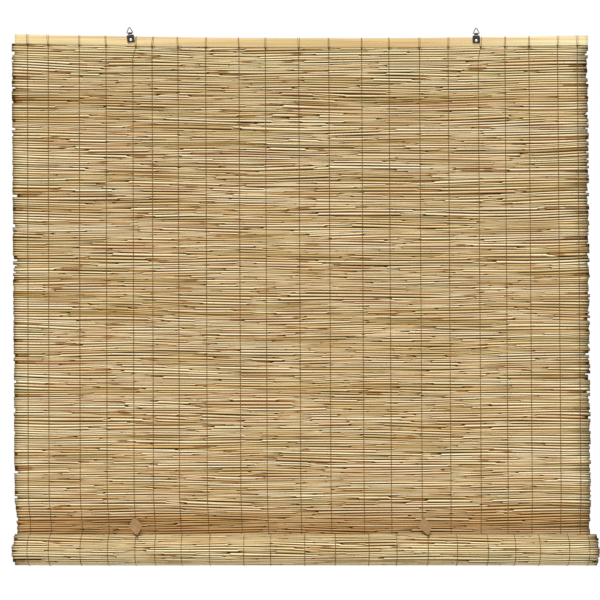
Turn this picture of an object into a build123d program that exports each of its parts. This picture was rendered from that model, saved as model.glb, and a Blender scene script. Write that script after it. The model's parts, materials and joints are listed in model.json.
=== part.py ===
from build123d import *
from math import acos, asin, atan2, ceil, cos, degrees, hypot, pi, radians, sin, sqrt, tan
import os

# Reed roll up blind, partly rolled up. Millimetres, +Z up, seen from the front along +Y.
# The origin is the middle of the head rail's back face.

# Head rail: a flat slat with a crowned front that sags between its hangers
rail_length = 1219.0
rail_height = 20.5
rail_depth = 8.5
rail_crown = 1.0
rail_bevel = 1.2
rail_left_rise = 8.5
rail_right_rise = 5.7

# Reed mat: rows of reeds side by side, as one ridged wall that hangs a little askew
mat_overhang = 2.5
mat_drop = 1074.0
mat_top_shift = -3.8
mat_drift = 6.8
reed_thickness = 4.2
reed_pitch = 5.05
reed_groove = 0.9

# Roll: the lower end of the mat, rolled forward round the bottom batten
roll_radius = 35.0
roll_spread = 7.0
roll_shift = 9.3
turn_gap = 0.1
batten_height = 20.5
batten_depth = 8.5
batten_bevel = 1.2
batten_overhang = 4.0
core_gap = 0.3

# Warp strings: the steps from one to the next, from left to right
string_steps = [44, 66, 57, 57, 41, 55, 59, 71, 56, 71, 64, 70, 58, 65, 61, 64, 57, 51, 61, 42]
string_left_margin = 33.2
string_right_margin = 21.0
string_width = 1.2
string_thickness = 1.0
string_gap = 0.15
string_left_drift = 1.7
string_right_drift = 9.0
string_roll_shift = 9.0
settle_length = 26.0
shift_length = 70.0
wrap_step = 30.0

# Ties of the strings on the rail: a double strand, a knot and a short tail
tie_width = 2.8
knot_radius = 1.3
knot_length = 4.2
tail_width = 0.9
tail_length = 8.0

# Hangers: a folded strap that holds a wire ring, screwed to the front of the rail
hanger_strings = [4, 16]
hanger_offsets = [-3.8, -4.2]
hanger_leans = [8.0, 0.5]
sheet_thickness = 0.8
strap_width = 15.6
strap_corner = 0.9
neck_width = 8.2
neck_length = 2.9
shoulder_length = 2.2
barrel_to_screw = 14.5
screw_to_end = 5.7
screw_above_middle = 3.0
strap_gap = 0.05
strap_side_gap = 0.4
wire_radius = 0.9
wire_sides = 8
bar_gap = 0.08
ring_base = 14.1
ring_height = 13.6
ring_corner = 1.5
ring_apex = 1.8
bends = 3
screw_head_radius = 2.7
screw_head_height = 1.7
screw_head_bevel = 0.8
screw_shank_radius = 1.3
shank_sides = 8
screw_shank_length = 6.0
screw_gap = 0.05
recess_width = 0.7
recess_length = 3.0
recess_depth = 0.8

# Tabs: flat leaves that bridge from the mat to the roll, tied at both tips
tab_strings = [4, 14]
tab_above_roll = 33.0
tab_length = 55.0
tab_width = 27.0
tab_shoulder = 28.0
tab_side_round = 8.0
tab_tip_round = 2.8
tab_thickness = 1.6
tab_hole_radius = 1.1
tab_clearance = 1.4
cord_radius = 0.6
cord_sides = 12
cord_loop_radius = 2.6
cord_gap = 0.05
cord_knot_radius = 1.3
knot_sides = 6
cord_tail_width = 0.9
cord_tail_length = 6.0
cord_tail_spread = 22.0

# Places worked out from the sizes above
half_rail = rail_length / 2
mat_width = rail_length + 2 * mat_overhang
rail_foot = -rail_height / 2
rail_gap = string_thickness + 2 * string_gap
mat_front = -(rail_depth + reed_thickness) / 2
mat_back = mat_front + reed_thickness
roll_y = mat_back - roll_radius
roll_z = -mat_drop
turn_pitch = reed_thickness + turn_gap
corner_y = batten_depth / 2 - batten_bevel
corner_z = batten_height / 2
core_radius = hypot(corner_y, corner_z) + core_gap
turns = (roll_radius - reed_thickness - core_radius) / turn_pitch
string_face = mat_front - string_gap - string_thickness

# Strings: where each one stands at the rail, at the foot of the mat and on the roll
string_span = mat_width - string_left_margin - string_right_margin
string_start = mat_top_shift - mat_width / 2 + string_left_margin
step_scale = string_span / sum(string_steps)
string_last = len(string_steps)
string_top = [string_start + step_scale * sum(string_steps[:i]) for i in range(string_last + 1)]
string_foot = [
    x + string_left_drift + (string_right_drift - string_left_drift) * i / string_last
    for i, x in enumerate(string_top)
]
string_roll = [x + string_roll_shift for x in string_foot]
hanger_x = [string_top[i] + offset for i, offset in zip(hanger_strings, hanger_offsets)]
sides = ["left", "right"]


def rail_rise(x):
    """Height of the rail's middle line at x, on the circle through its ends and its middle."""
    ends = 2 * half_rail**2 + rail_left_rise**2 + rail_right_rise**2
    drop = -ends / (rail_left_rise + rail_right_rise)
    lean = -(half_rail**2 + rail_right_rise**2 + rail_right_rise * drop) / half_rail
    return (-drop - sqrt(drop * drop - 4 * (x * x + lean * x))) / 2


def tie_place(i):
    """Where string i crosses the rail: on its own line, or just to the right of a strap."""
    if i not in hanger_strings:
        return string_top[i]
    side = hanger_strings.index(i)
    lean = radians(hanger_leans[side])
    reach = strap_width / 2 * cos(lean) + max(screw_to_end * sin(lean), 0)
    return hanger_x[side] + reach + strap_side_gap + tie_width / 2


def hanger_plane(side):
    """Plane of a hanger: origin at its screw on the rail's front, local y up along the strap."""
    x = hanger_x[side]
    lean = radians(hanger_leans[side])
    origin = (x, -rail_depth - strap_gap, rail_rise(x) + screw_above_middle)
    return Plane(origin=origin, x_dir=(cos(lean), 0, sin(lean)), z_dir=(0, -1, 0))


def spiral(angle, inward=0.0):
    """Point of the roll's section at an angle from the back, going down, in from the crests."""
    radius = roll_radius - turn_pitch * angle / (2 * pi) - inward
    return (roll_y + radius * cos(angle), roll_z - radius * sin(angle))


# Head rail
with BuildPart() as head_rail:
    with BuildLine(Plane.XZ) as rail_line:
        ThreePointArc((-half_rail, rail_left_rise), (0, 0), (half_rail, rail_right_rise))
    with BuildSketch(Plane(rail_line.line @ 0, x_dir=(0, 1, 0), z_dir=rail_line.line % 0)) as rail_end:
        with BuildLine():
            back = Line((0, rail_foot), (0, -rail_foot))
            top = Line(back @ 1, (rail_crown - rail_depth, -rail_foot))
            front = ThreePointArc(top @ 1, (-rail_depth, 0), (rail_crown - rail_depth, rail_foot))
            Line(front @ 1, back @ 0)
        make_face()
        chamfer(rail_end.vertices(), rail_bevel)
    sweep()
    for side in range(len(sides)):
        with BuildSketch(hanger_plane(side)):
            RegularPolygon(screw_shank_radius + screw_gap, shank_sides)
        extrude(amount=-screw_shank_length - screw_gap, mode=Mode.SUBTRACT)
head_rail.part.label = "head_rail"

# Reed mat: ridged on both faces, trimmed under the sagging rail and along its slanted ends
row_count = ceil((mat_drop + max(rail_left_rise, rail_right_rise)) / reed_pitch)
half_steps = range(2 * row_count + 1)
half_rows = [(roll_z + k * reed_pitch / 2, reed_groove * (1 - k % 2)) for k in half_steps]
front_ridges = [(mat_front + groove, z) for z, groove in half_rows]
back_ridges = [(mat_back - groove, z) for z, groove in half_rows]
mat_left = mat_top_shift - mat_width / 2
mat_right = mat_top_shift + mat_width / 2

with BuildPart() as reed_mat:
    with BuildSketch(Plane.YZ):
        with BuildLine():
            Polyline(front_ridges + back_ridges[::-1], close=True)
        make_face()
    extrude(amount=mat_width, both=True)
    with BuildSketch(Plane.XZ):
        with BuildLine():
            under_rail = rail_foot - rail_gap
            trim = ThreePointArc(*[(x, rail_rise(x) + under_rail) for x in (mat_left, 0, mat_right)])
            Polyline(trim @ 1, (mat_right + mat_drift, roll_z), (mat_left + mat_drift, roll_z), trim @ 0)
        make_face()
    extrude(amount=rail_depth, both=True, mode=Mode.INTERSECT)
reed_mat.part.label = "reed_mat"

# Reed roll: the spiral of the same rows, a valley at the start where the mat runs in
ridge_angles = [0.0]
while ridge_angles[-1] < 2 * pi * turns:
    middle = roll_radius - reed_thickness / 2 - turn_pitch * ridge_angles[-1] / (2 * pi)
    ridge_angles.append(ridge_angles[-1] + reed_pitch / 2 / middle)
ridge_angles = ridge_angles[: len(ridge_angles) // 2 * 2 - 1]
outer_ridges = [spiral(a, reed_groove * (1 - k % 2)) for k, a in enumerate(ridge_angles)]
inner_ridges = [spiral(a, reed_thickness - reed_groove * (1 - k % 2)) for k, a in enumerate(ridge_angles)]
half_roll = (mat_width + roll_spread) / 2

with BuildPart() as reed_roll:
    with BuildSketch(Plane.YZ.offset(roll_shift)):
        with BuildLine():
            Polyline(outer_ridges + inner_ridges[::-1], close=True)
        make_face()
    extrude(amount=half_roll, both=True)
reed_roll.part.label = "reed_roll"

# Bottom batten: the slat in the core of the roll, one of its corners against the last reed
batten_turn = -degrees(ridge_angles[-2] + atan2(corner_z, corner_y))

with BuildPart() as bottom_batten:
    with BuildSketch(Plane.YZ.offset(roll_shift)) as batten_end:
        with Locations(Location((roll_y, roll_z), batten_turn)):
            Rectangle(batten_depth, batten_height)
        chamfer(batten_end.vertices(), batten_bevel)
    extrude(amount=half_roll - batten_overhang, both=True)
bottom_batten.part.label = "bottom_batten"

# Warp strings: loops round the rail, a strand down each face of the mat, a wrap round the roll
strand_foot = roll_z + sqrt(roll_radius**2 - (string_face - string_gap - roll_y) ** 2)
half_step = radians(wrap_step) / 2
wrap_reach = (roll_radius - turn_pitch + string_gap + string_thickness) / cos(half_step)
nip_angle = 2 * pi - acos((roll_radius - reed_thickness - string_gap) / wrap_reach)
wrap_count = int(nip_angle / (2 * half_step))
wrap_angles = [2 * half_step * k for k in range(wrap_count + 1)]


def wrap_point(angle, out):
    """Corner of a string's wrap, far enough out that its straight sides clear the reeds."""
    radius = (roll_radius - turn_pitch * angle / (2 * pi) + out) / cos(half_step)
    return (roll_y + radius * cos(angle), roll_z - radius * sin(angle))


def strand(points):
    """Outline of a strand of even width along points that run downwards."""
    left = [(x - string_width / 2, z) for x, z in points]
    right = [(x + string_width / 2, z) for x, z in points]
    return left + right[::-1]


def make_string(i):
    """One warp string with its tie on the rail."""
    tie = tie_place(i)
    rise = rail_rise(tie)
    under = rise + rail_foot - string_gap
    settle = [(string_top[i], under - settle_length)] if i in hanger_strings else []
    knot_plane = Plane.YZ.offset(tie - knot_length / 2)
    knot_centre = (string_face + string_thickness - knot_radius, under - knot_radius)
    inside = (rail_depth + 2 * string_gap, rail_height + 2 * string_gap)
    with BuildPart() as warp_string:
        with BuildSketch(Plane.XZ.offset(string_gap - mat_front)):
            with BuildLine():
                front_run = [(tie, under)] + settle + [(string_foot[i], strand_foot)]
                Polyline(strand(front_run), close=True)
            make_face()
        extrude(amount=string_thickness)
        with BuildSketch(Plane.XZ.offset(-mat_back - string_gap)):
            with BuildLine():
                shift_z = roll_z + shift_length
                back_run = [(tie, under)] + settle + [(string_foot[i], shift_z)]
                back_end = [(string_roll[i], roll_z), (string_roll[i], roll_z - string_thickness)]
                Polyline(strand(back_run + back_end), close=True)
            make_face()
        extrude(amount=-string_thickness)
        with BuildSketch(Plane.YZ.offset(string_roll[i] - string_width / 2)):
            with BuildLine():
                near = [wrap_point(angle, string_gap) for angle in wrap_angles]
                far = [wrap_point(angle, string_gap + string_thickness) for angle in wrap_angles]
                Polyline(near + far[::-1], close=True)
            make_face()
        extrude(amount=string_width)
        with BuildSketch(Plane.YZ.offset(tie - tie_width / 2)):
            with Locations((-rail_depth / 2, rise)):
                Rectangle(inside[0] + 2 * string_thickness, inside[1] + 2 * string_thickness)
                Rectangle(*inside, mode=Mode.SUBTRACT)
        extrude(amount=tie_width)
        with BuildSketch(knot_plane):
            with Locations(knot_centre):
                RegularPolygon(knot_radius, knot_sides)
        extrude(amount=knot_length)
        with BuildSketch(knot_plane.offset(knot_length)):
            with Locations(knot_centre):
                Rectangle(tail_width, tail_width)
        extrude(amount=tail_length)
    warp_string.part.label = f"warp_string_{i + 1:02d}"
    return warp_string.part


# Hangers
def make_strap(side):
    """Folded strap: two plies with a shoulder and a neck, and the barrel of the fold on top."""
    plane = hanger_plane(side)
    neck_foot = barrel_to_screw - neck_length
    body_top = neck_foot - shoulder_length
    barrel_end = plane.from_local_coords((-neck_width / 2, barrel_to_screw, sheet_thickness))
    barrel_plane = Plane(barrel_end, x_dir=plane.z_dir, z_dir=plane.x_dir)
    right_edge = [
        (strap_width / 2, -screw_to_end),
        (strap_width / 2, body_top),
        (neck_width / 2, neck_foot),
        (neck_width / 2, barrel_to_screw),
    ]
    with BuildPart() as strap:
        with BuildSketch(plane) as strap_face:
            with BuildLine():
                Polyline(right_edge + [(-x, y) for x, y in right_edge[::-1]], close=True)
            make_face()
            fillet(strap_face.vertices().group_by(Axis.Y)[:-1], strap_corner)
        extrude(amount=2 * sheet_thickness)
        with BuildSketch(barrel_plane):
            Circle(wire_radius + bar_gap + sheet_thickness)
        extrude(amount=neck_width)
        with BuildSketch(barrel_plane):
            Circle(wire_radius + bar_gap)
        extrude(amount=neck_width, mode=Mode.SUBTRACT)
        with BuildSketch(plane):
            RegularPolygon(screw_shank_radius + screw_gap, shank_sides)
        extrude(amount=2 * sheet_thickness, mode=Mode.SUBTRACT)
    strap.part.label = f"hanger_strap_{sides[side]}"
    return strap.part


def bend(centre, radius, start, turn):
    """Points of a bend in the wire, along an arc from its start angle."""
    angles = [start + turn * k / bends for k in range(bends + 1)]
    return [(centre[0] + radius * cos(a), centre[1] + radius * sin(a)) for a in angles]


def make_ring(side):
    """Closed wire ring with three rounded corners, its bar in the strap's barrel."""
    plane = hanger_plane(side)
    bar = Plane(plane.from_local_coords((0, barrel_to_screw, sheet_thickness)), plane.x_dir, plane.z_dir)
    foot_turn = pi - atan2(ring_height, ring_base / 2)
    apex_turn = 2 * pi - 2 * foot_turn
    half_base = ring_base / 2 - ring_corner * tan(foot_turn / 2)
    apex_drop = ring_height - ring_apex / cos(apex_turn / 2)
    right_foot = bend((half_base, ring_corner), ring_corner, -pi / 2, foot_turn)
    apex = bend((0, apex_drop), ring_apex, pi / 2 - apex_turn / 2, apex_turn)
    left_foot = [(-x, y) for x, y in right_foot[::-1]]
    with BuildPart() as ring:
        with BuildLine(bar) as wire_line:
            Polyline([(0, 0)] + right_foot + apex + left_foot, close=True)
        with BuildSketch(Plane(origin=wire_line.line @ 0, z_dir=wire_line.line % 0)):
            RegularPolygon(wire_radius, wire_sides)
        sweep(transition=Transition.RIGHT)
    ring.part.label = f"hanger_ring_{sides[side]}"
    return ring.part


def make_screw(side):
    """Round-headed screw with a cross recess, through the strap into the rail."""
    plane = hanger_plane(side)
    with BuildPart() as screw:
        with BuildSketch(plane.offset(2 * sheet_thickness)):
            Circle(screw_head_radius)
        extrude(amount=screw_head_height)
        chamfer(screw.edges().sort_by(Axis.Y)[0], screw_head_bevel)
        with BuildSketch(plane.offset(2 * sheet_thickness)):
            RegularPolygon(screw_shank_radius, shank_sides)
        extrude(amount=-screw_shank_length - 2 * sheet_thickness)
        with BuildSketch(plane.offset(2 * sheet_thickness + screw_head_height)):
            Rectangle(recess_length, recess_width)
            Rectangle(recess_width, recess_length)
        extrude(amount=-recess_depth, mode=Mode.SUBTRACT)
    screw.part.label = f"hanger_screw_{sides[side]}"
    return screw.part


# Tabs: the flat of each tab runs from the loop on the mat's string past the top of the roll
loop_reach = cord_loop_radius + cord_radius + cord_gap
loop_y = string_face - loop_reach - roll_y
loop_z = roll_radius - 3 * turn_pitch / 4 + tab_above_roll
loop_span = hypot(loop_y, loop_z)
roll_face = roll_radius - turn_pitch / 2 + string_gap + string_thickness
flat_reach = roll_face + tab_clearance + tab_thickness / 2
flat_lean = atan2(loop_y, loop_z) + asin(flat_reach / loop_span)
flat_length = sqrt(loop_span**2 - flat_reach**2)
hole_span = tab_length - 2 * tab_tip_round
hole_to_foot = flat_length - cord_loop_radius - hole_span
seat_reach = roll_face + cord_gap + cord_radius
low_loop_radius = (flat_reach**2 + hole_to_foot**2 - seat_reach**2) / (2 * (seat_reach + hole_to_foot))


def tab_plane(side):
    """Plane of a tab's middle: origin at its upper hole, local y up along the tab."""
    i = tab_strings[side]
    upper = string_foot[i]
    lower = string_roll[i]
    lean = asin((lower - upper) / (hole_span + cord_loop_radius + low_loop_radius))
    down = Vector(0, -sin(flat_lean), -cos(flat_lean))
    across = Vector(1, 0, 0) * cos(lean) - down * sin(lean)
    loop_centre = Vector(upper, roll_y + loop_y, roll_z + loop_z)
    along = down * cos(lean) + Vector(1, 0, 0) * sin(lean)
    hole = loop_centre + along * cord_loop_radius
    return Plane(origin=hole, x_dir=across, z_dir=(0, -cos(flat_lean), sin(flat_lean)))


def make_tab(side):
    """Leaf-shaped flat tab with a hole at each tip."""
    half_angle = atan2(tab_width / 2, tab_shoulder)
    tip = tab_tip_round / sin(half_angle)
    low_half_angle = atan2(tab_width / 2, hole_span + 2 * tab_tip_round - tab_shoulder)
    low_tip = -hole_span - tab_tip_round / sin(low_half_angle)
    waist = tab_tip_round - tab_shoulder
    corners = [(0, tip), (tab_width / 2, waist), (0, low_tip), (-tab_width / 2, waist)]
    rounds = [tab_tip_round, tab_side_round, tab_tip_round, tab_side_round]
    with BuildPart() as tab:
        with BuildSketch(tab_plane(side)):
            with BuildLine():
                FilletPolyline(corners, close=True, radius=rounds)
            make_face()
            with Locations((0, 0), (0, -hole_span)):
                RegularPolygon(tab_hole_radius, cord_sides, mode=Mode.SUBTRACT)
        extrude(amount=tab_thickness / 2, both=True)
    tab.part.label = f"roll_tab_{sides[side]}"
    return tab.part


def make_top_cord(side):
    """Cord loop through the tab's upper hole, against the mat's string."""
    plane = tab_plane(side)
    centre = plane.from_local_coords((0, cord_loop_radius, 0))
    with BuildPart() as cord:
        with BuildSketch(Plane(centre, x_dir=plane.z_dir, z_dir=plane.x_dir)):
            RegularPolygon(cord_loop_radius + cord_radius, cord_sides)
            RegularPolygon(cord_loop_radius - cord_radius, cord_sides, mode=Mode.SUBTRACT)
        extrude(amount=cord_radius, both=True)
    cord.part.label = f"tab_top_cord_{sides[side]}"
    return cord.part


def make_low_cord(side):
    """Cord loop through the tab's lower hole, with a knot and two tails on the roll."""
    plane = tab_plane(side)
    centre = plane.from_local_coords((0, -hole_span - low_loop_radius, 0))
    knot = plane.from_local_coords((0, -hole_span - 2 * low_loop_radius - cord_radius, 0))
    with BuildPart() as cord:
        with BuildSketch(Plane(centre, x_dir=plane.z_dir, z_dir=plane.x_dir)):
            RegularPolygon(low_loop_radius + cord_radius, cord_sides)
            RegularPolygon(low_loop_radius - cord_radius, cord_sides, mode=Mode.SUBTRACT)
        extrude(amount=cord_radius, both=True)
        with BuildSketch(Plane(knot, x_dir=plane.z_dir, z_dir=plane.x_dir)):
            RegularPolygon(cord_knot_radius, knot_sides)
        extrude(amount=cord_knot_radius, both=True)
        for turn in (-cord_tail_spread, cord_tail_spread):
            run = plane.x_dir * sin(radians(turn)) - plane.y_dir * cos(radians(turn))
            with BuildSketch(Plane(knot, x_dir=plane.z_dir, z_dir=run)):
                Rectangle(cord_tail_width, cord_tail_width)
            extrude(amount=cord_knot_radius + cord_tail_length)
    cord.part.label = f"tab_low_cord_{sides[side]}"
    return cord.part


pieces = [head_rail.part, reed_mat.part, reed_roll.part, bottom_batten.part]
pieces += [make_string(i) for i in range(len(string_top))]
for side in range(len(sides)):
    pieces += [make_strap(side), make_ring(side), make_screw(side)]
    pieces += [make_tab(side), make_top_cord(side), make_low_cord(side)]

os.makedirs("parts", exist_ok=True)
for piece in pieces:
    export_step(piece, f"parts/{piece.label}.step")
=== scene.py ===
import json

import bmesh
import bpy
import numpy as np
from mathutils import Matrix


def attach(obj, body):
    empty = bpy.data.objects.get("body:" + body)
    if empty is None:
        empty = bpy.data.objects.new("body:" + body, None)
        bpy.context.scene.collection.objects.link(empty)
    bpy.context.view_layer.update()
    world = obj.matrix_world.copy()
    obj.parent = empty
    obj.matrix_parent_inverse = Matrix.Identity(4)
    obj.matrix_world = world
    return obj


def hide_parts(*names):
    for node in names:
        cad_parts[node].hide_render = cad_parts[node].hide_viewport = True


# A reed blind, partly rolled up, hanging from two wire rings. Metres, seen from the front along +Y.
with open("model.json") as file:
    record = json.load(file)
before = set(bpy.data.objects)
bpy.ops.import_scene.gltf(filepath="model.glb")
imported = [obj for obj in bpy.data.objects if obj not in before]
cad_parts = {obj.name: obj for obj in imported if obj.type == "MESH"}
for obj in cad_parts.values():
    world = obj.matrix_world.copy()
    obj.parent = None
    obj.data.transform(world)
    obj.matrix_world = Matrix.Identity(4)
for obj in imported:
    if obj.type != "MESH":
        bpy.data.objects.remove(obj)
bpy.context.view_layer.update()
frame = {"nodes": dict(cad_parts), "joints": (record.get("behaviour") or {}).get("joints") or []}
nodes = frame["nodes"]
joints = {joint["name"]: joint for joint in frame["joints"]}
dice = np.random.default_rng(8713)
sides = ("left", "right")


# Camera, light and floor
photo = {
    "pixels": 600,
    "metresPerPixel": 0.002127,
    "originColumn": 301.3,  # pixel column of the middle of the head rail
    "originRow": 42.8,  # pixel row of the rail's middle line at its lowest
    "distance": 4.6,
    "sensor": 36,
    "railFront": -0.0085,
}
studio = {
    "worldLight": 0.48,
    "keyStrength": 3.36,
    "keySpread": 0.4,  # angle of the sun disc, for soft light
    "keyTilt": (0.6, 0.0, -0.25),
    "floor": (4.5, -8.0, 2.0, -1.5),  # half width, near and far edge, and height
}


def tint(red, green, blue):  # a colour as a screen shows it, turned into the linear one that shaders use
    share = np.array((red, green, blue)) / 255
    linear = np.where(share <= 0.04045, share / 12.92, ((share + 0.055) / 1.055) ** 2.4)
    return (*linear.tolist(), 1.0)


def makeCamera():
    data = bpy.data.cameras.new("photoCamera")
    data.sensor_width = photo["sensor"]
    middle, scale = photo["pixels"] / 2, photo["metresPerPixel"]
    data.lens = photo["sensor"] * photo["distance"] / (photo["pixels"] * scale)
    camera = bpy.data.objects.new("photoCamera", data)
    camera.location = (
        (middle - photo["originColumn"]) * scale,
        photo["railFront"] - photo["distance"],
        (photo["originRow"] - middle) * scale,
    )
    camera.rotation_euler = (np.pi / 2, 0, 0)
    bpy.context.scene.collection.objects.link(camera)
    bpy.context.scene.camera = camera


def makeStudio():
    scene = bpy.context.scene
    scene.view_settings.view_transform = "Standard"
    world = bpy.data.worlds.new("whiteRoom")
    scene.world = world
    world.use_nodes = True
    tree = world.node_tree
    light = tree.nodes["Background"]
    light.inputs["Strength"].default_value = studio["worldLight"]
    seen = tree.nodes.new("ShaderNodeBackground")  # what a camera ray sees is plain white
    for background in (light, seen):
        background.inputs["Color"].default_value = (1, 1, 1, 1)
    rays = tree.nodes.new("ShaderNodeLightPath")
    either = tree.nodes.new("ShaderNodeMixShader")
    tree.links.new(rays.outputs["Is Camera Ray"], either.inputs[0])
    tree.links.new(light.outputs[0], either.inputs[1])
    tree.links.new(seen.outputs[0], either.inputs[2])
    tree.links.new(either.outputs[0], tree.nodes["World Output"].inputs[0])

    sun = bpy.data.lights.new("keyLight", "SUN")
    sun.energy = studio["keyStrength"]
    sun.angle = studio["keySpread"]
    key = bpy.data.objects.new("keyLight", sun)
    key.rotation_euler = studio["keyTilt"]
    scene.collection.objects.link(key)


print("stage: camera and light")
makeCamera()
makeStudio()


# Materials: a socket that takes sums as Python expressions, and a look that holds the nodes
class Wire:
    def __init__(self, look, socket):
        self.look, self.socket = look, socket

    def __add__(self, other):
        return self.look.math("ADD", self, other)

    def __sub__(self, other):
        return self.look.math("SUBTRACT", self, other)

    def __rsub__(self, other):
        return self.look.math("SUBTRACT", other, self)

    def __mul__(self, other):
        return self.look.math("MULTIPLY", self, other)

    def __truediv__(self, other):
        return self.look.math("DIVIDE", self, other)

    def __rtruediv__(self, other):
        return self.look.math("DIVIDE", other, self)

    __radd__ = __add__
    __rmul__ = __mul__

    def over(self, low, high):  # 0 below low, 1 above high, smooth between
        inputs = {"Value": self, "From Min": low, "From Max": high}
        return self.look.node("ShaderNodeMapRange", {"interpolation_type": "SMOOTHSTEP"}, inputs)


class Look:
    def __init__(self, name):
        self.material = bpy.data.materials.new(name)
        self.material.use_nodes = True
        self.tree = self.material.node_tree
        self.shader = self.tree.nodes["Principled BSDF"]

    def fill(self, node, inputs):  # links a wire, and sets any other value on the socket itself
        for key, value in inputs.items():
            if isinstance(value, Wire):
                self.tree.links.new(value.socket, node.inputs[key])
            else:
                node.inputs[key].default_value = value

    def node(self, kind, settings=None, inputs=None, out=0):
        made = self.tree.nodes.new(kind)
        for key, value in (settings or {}).items():
            if key == "stops":
                ramp = made.color_ramp.elements
                while len(ramp) < len(value):
                    ramp.new(0.5)
                for stop, (place, colour) in zip(ramp, value):
                    stop.position = place
                    stop.color = tint(*colour)
            else:
                setattr(made, key, value)
        self.fill(made, inputs or {})
        return Wire(self, made.outputs[out])

    def math(self, operation, first, second=0.0):
        return self.node("ShaderNodeMath", {"operation": operation}, {0: first, 1: second})

    def most(self, first, second):  # the greater of two numbers
        return self.math("MAXIMUM", first, second)

    def attribute(self, name):
        return self.node("ShaderNodeAttribute", {"attribute_name": name}, out="Fac")

    def place(self, stretch):  # the piece's own coordinates, times a stretch for each axis
        at = self.node("ShaderNodeTexCoord", out="Object")
        return self.node("ShaderNodeVectorMath", {"operation": "MULTIPLY"}, {0: at, 1: stretch})

    def noise(self, stretch, detail=3.0, seed=0.0):
        inputs = {"Vector": self.place(stretch), "W": seed, "Scale": 1.0, "Detail": detail}
        return self.node("ShaderNodeTexNoise", {"noise_dimensions": "4D"}, inputs)

    def ramp(self, value, stops):
        return self.node("ShaderNodeValToRGB", {"stops": stops}, {0: value})

    def blend(self, kind, share, first, second):  # 6 and 7 are a Mix node's colours, and 2 is what it gives
        colours = [tint(*colour) if isinstance(colour, tuple) else colour for colour in (first, second)]
        settings = {"data_type": "RGBA", "blend_type": kind}
        return self.node("ShaderNodeMix", settings, {0: share, 6: colours[0], 7: colours[1]}, out=2)

    def mix(self, share, first, second):
        return self.blend("MIX", share, first, second)

    def shade(self, share, colour):  # multiplies a colour by a number
        grey = self.node("ShaderNodeCombineColor", {}, {0: share, 1: share, 2: share})
        return self.blend("MULTIPLY", 1.0, colour, grey)

    def bump(self, height, strength, distance):
        inputs = {"Height": height, "Strength": strength, "Distance": distance}
        return self.node("ShaderNodeBump", {}, inputs)

    def finish(self, inputs):
        self.fill(self.shader, inputs)
        return self.material


peel = {  # screen colours of the reeds, and lengths in metres
    "straw": (
        (0.0, (178, 140, 78)), (0.16, (206, 190, 138)), (0.32, (242, 214, 154)),
        (0.55, (255, 244, 204)), (0.78, (254, 228, 184)), (1.0, (224, 188, 150)),
    ),
    "pale": (255, 244, 192),  # on the roll and below the rail
    "footShade": ((0.3, (164, 108, 54)), (0.7, (224, 168, 100))),  # painted shade, brown, in the lowest rows of the mat just above the roll
    "butt": (255, 240, 194),
    "buttLength": 0.09,
    "aged": (200, 148, 84),  # towards a tip
    "agedLength": 0.3,
    "sheath": ((0.3, (128, 84, 48)), (0.7, (204, 152, 96))),
    "tip": (66, 36, 12),
    "tipLength": 0.009,
    "ring": (150, 104, 56),
    "ringsPerMetre": 5.6,
    "lowerShade": (200, 142, 36),  # painted shade on a reed's lower side
    # painted shade in the crevices between rows, lighter and darker
    "crevice": ((80, 47, 0), (26, 12, 0)),
    "hollow": (52, 30, 12),
}


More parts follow.
